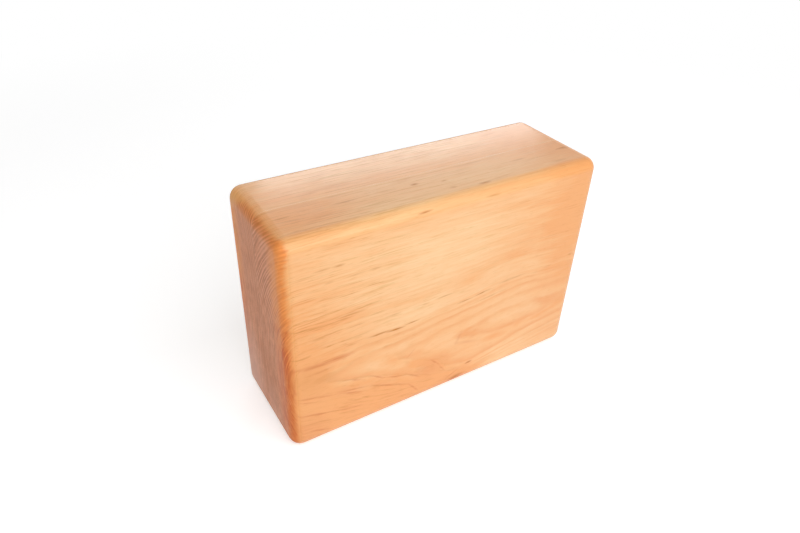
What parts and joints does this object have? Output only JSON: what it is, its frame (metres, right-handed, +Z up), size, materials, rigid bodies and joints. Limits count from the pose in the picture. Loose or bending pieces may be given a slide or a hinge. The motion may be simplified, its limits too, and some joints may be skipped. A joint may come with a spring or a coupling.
{
  "type": "yoga block",
  "caption": "Solid wood yoga block glued up from thick planks, every edge and corner rounded over, that rests on any of its faces as a prop for hand, foot or back.",
  "frame": {"origin": "middle of the long narrow face that the block stands on", "axes": "+X along the block's length and grain, +Y through its thickness from the front face to the back face, +Z up across its width"},
  "size_m": [0.22, 0.077, 0.15],
  "materials": {
    "front_wood": "oiled, satin",
    "back_wood": "oiled, satin",
    "wood_glue": "hardened glue, sanded flush"
  },
  "bodies": {
    "root": {"front_board": "front_wood", "back_board": "back_wood", "glue_line": "wood_glue"}
  },
  "joints": []
}
